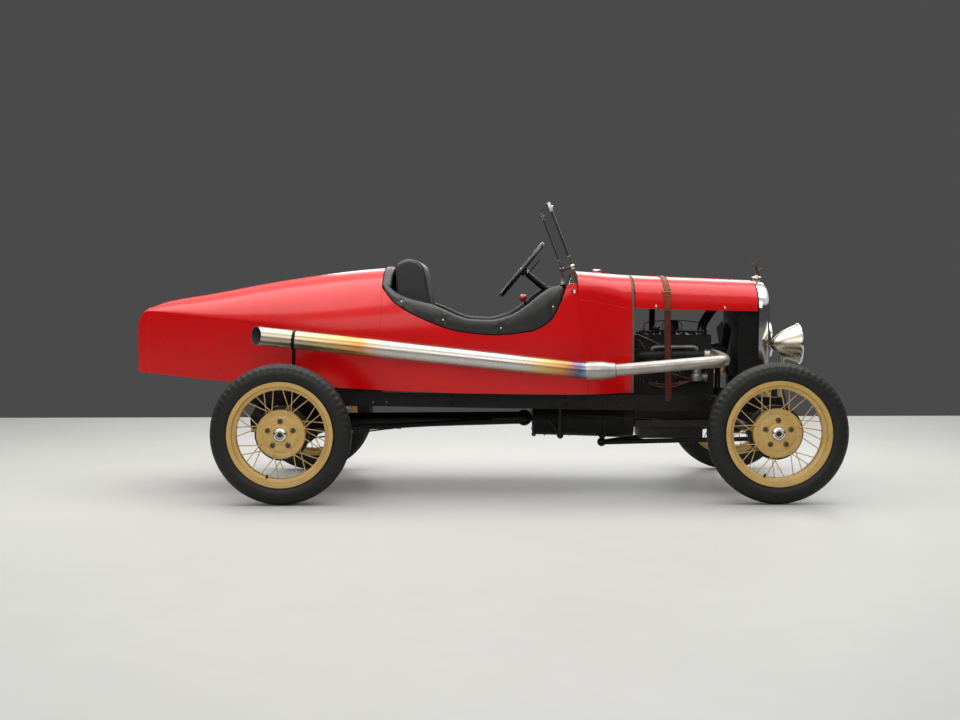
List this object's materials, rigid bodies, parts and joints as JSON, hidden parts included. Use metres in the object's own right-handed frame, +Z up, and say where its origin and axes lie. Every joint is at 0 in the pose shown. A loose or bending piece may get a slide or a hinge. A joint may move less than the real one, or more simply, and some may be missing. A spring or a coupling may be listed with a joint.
{
  "type": "boat-tailed two-seat speedster car",
  "caption": "Open two-seat car with a boat tail, wire wheels on steered knuckles, a side exhaust and hood halves that lift over an exposed engine.",
  "frame": {"origin": "on the ground under the middle of the overall length and width", "axes": "+X forward, +Y to the car's left, +Z up"},
  "size_m": [3.9289, 1.5368, 1.619],
  "materials": {
    "tyre": "worn rubber with moulded shoulder notches",
    "wheel_paint": "gloss tan-gold enamel",
    "steering_rim": "smooth hard rubber",
    "engine_grey": "painted casting",
    "transmission": "oily dark casting",
    "chassis_black": "satin black enamel",
    "intake_alloy": "cast alloy",
    "exhaust_steel": "bare steel with heat tints",
    "radiator_core": "darkened fins",
    "chrome": "polished plate",
    "nickel": "polished nickel",
    "lens_glass": "fluted lens",
    "body_red": "deep gloss red enamel",
    "firewall_brown": "satin brown",
    "floor_wood": "oiled boards",
    "black_leather": "padded black leather",
    "screen_glass": "clear plate glass",
    "strap_leather": "brown harness leather"
  },
  "bodies": {
    "chassis": {"steering_column": "chassis_black", "front_axle": "chassis_black", "front_spring": "chassis_black", "front_radius_rods": "chassis_black", "frame_rails": "chassis_black", "crossmembers": "chassis_black", "rear_axle": "chassis_black", "rear_spring": "chassis_black", "engine_block": "engine_grey", "gearbox": "transmission", "intake_pipe": "intake_alloy", "exhaust_header": "exhaust_steel", "tailpipe": "exhaust_steel", "radiator": "radiator_core", "radiator_shell": "chrome", "radiator_cap": "chrome", "headlamps": "nickel", "headlamp_lenses": "lens_glass", "hood_hinge": "body_red", "cowl": "body_red", "cowl_sides": "body_red", "firewall": "firewall_brown", "body_side_left": "body_red", "body_side_right": "body_red", "tail_deck": "body_red", "floor": "floor_wood", "seat_cushion": "black_leather", "seat_back": "black_leather", "coaming_sides": "black_leather", "coaming_rear": "black_leather", "windscreen_posts": "chassis_black", "fuel_cap": "chrome", "strap_anchors": "strap_leather"},
    "wheel_front_left": {"tyre_front_left": "tyre", "wheel_front_left": "wheel_paint"},
    "wheel_front_right": {"tyre_front_right": "tyre", "wheel_front_right": "wheel_paint"},
    "wheel_rear_left": {"tyre_rear_left": "tyre", "wheel_rear_left": "wheel_paint"},
    "wheel_rear_right": {"tyre_rear_right": "tyre", "wheel_rear_right": "wheel_paint"},
    "knuckle_left": {"knuckle_left": "chassis_black"},
    "knuckle_right": {"knuckle_right": "chassis_black"},
    "tie_rod": {"tie_rod": "chassis_black"},
    "drag_link": {"drag_link": "chassis_black"},
    "pitman_arm": {"pitman_arm": "chassis_black"},
    "steering_wheel": {"steering_wheel": "steering_rim"},
    "fan": {"fan": "chassis_black"},
    "hood_left": {"hood_left": "body_red", "hood_strap_left": "strap_leather"},
    "hood_right": {"hood_right": "body_red", "hood_strap_right": "strap_leather"},
    "windscreen": {"windscreen_frame": "chassis_black", "windscreen_glass": "screen_glass"}
  },
  "joints": [
    {"name": "steering_turn", "type": "hinge", "parent": "chassis", "child": "steering_wheel", "pos_m": [0.2675, 0.25, 1.258], "axis": [-0.7771, 0, 0.6293], "range_deg": [-364, 364]},
    {"name": "steer_left", "type": "hinge", "parent": "chassis", "child": "knuckle_left", "pos_m": [1.5895, 0.586, 0.375], "axis": [0, 0, 1], "range_deg": [-28, 28]},
    {"name": "wheel_front_left_spin", "type": "hinge", "parent": "knuckle_left", "child": "wheel_front_left", "pos_m": [1.5895, 0.711, 0.375], "axis": [0, 1, 0], "continuous": true},
    {"name": "wheel_rear_left_spin", "type": "hinge", "parent": "chassis", "child": "wheel_rear_left", "pos_m": [-1.0395, 0.711, 0.375], "axis": [0, 1, 0], "continuous": true},
    {"name": "steer_right", "type": "hinge", "parent": "chassis", "child": "knuckle_right", "pos_m": [1.5895, -0.586, 0.375], "axis": [0, 0, 1], "range_deg": [-28, 28]},
    {"name": "wheel_front_right_spin", "type": "hinge", "parent": "knuckle_right", "child": "wheel_front_right", "pos_m": [1.5895, -0.711, 0.375], "axis": [0, 1, 0], "continuous": true},
    {"name": "wheel_rear_right_spin", "type": "hinge", "parent": "chassis", "child": "wheel_rear_right", "pos_m": [-1.0395, -0.711, 0.375], "axis": [0, 1, 0], "continuous": true},
    {"name": "tie_rod_pivot", "type": "hinge", "parent": "knuckle_left", "child": "tie_rod", "pos_m": [1.4695, 0.586, 0.398], "axis": [0, 0, 1], "range_deg": [-28, 28]},
    {"name": "pitman_swing", "type": "hinge", "parent": "chassis", "child": "pitman_arm", "pos_m": [0.99802, 0.402, 0.65844], "axis": [0, -1, 0], "range_deg": [-28, 28]},
    {"name": "drag_link_pivot", "type": "hinge", "parent": "pitman_arm", "child": "drag_link", "pos_m": [0.99802, 0.422, 0.53844], "axis": [0, -1, 0], "range_deg": [-28, 28]},
    {"name": "fan_spin", "type": "hinge", "parent": "chassis", "child": "fan", "pos_m": [1.4315, 0, 0.79], "axis": [1, 0, 0], "continuous": true},
    {"name": "windscreen_fold", "type": "hinge", "parent": "chassis", "child": "windscreen", "pos_m": [0.5215, 0, 1.262], "axis": [0, 1, 0], "range_deg": [0, 75]},
    {"name": "hood_left_lift", "type": "hinge", "parent": "chassis", "child": "hood_left", "pos_m": [0.8765, 0, 1.21808], "axis": [0.999, 0, -0.0445], "range_deg": [0, 60]},
    {"name": "hood_right_lift", "type": "hinge", "parent": "chassis", "child": "hood_right", "pos_m": [0.8765, 0, 1.21808], "axis": [-0.999, 0, 0.0445], "range_deg": [0, 60]}
  ],
  "couplings": [
    {"joint": "steer_left", "follows": "steering_turn", "ratio": 0.076923},
    {"joint": "steer_right", "follows": "steering_turn", "ratio": 0.076923},
    {"joint": "tie_rod_pivot", "follows": "steering_turn", "ratio": -0.076923},
    {"joint": "pitman_swing", "follows": "steering_turn", "ratio": 0.076923},
    {"joint": "drag_link_pivot", "follows": "steering_turn", "ratio": -0.076923}
  ]
}
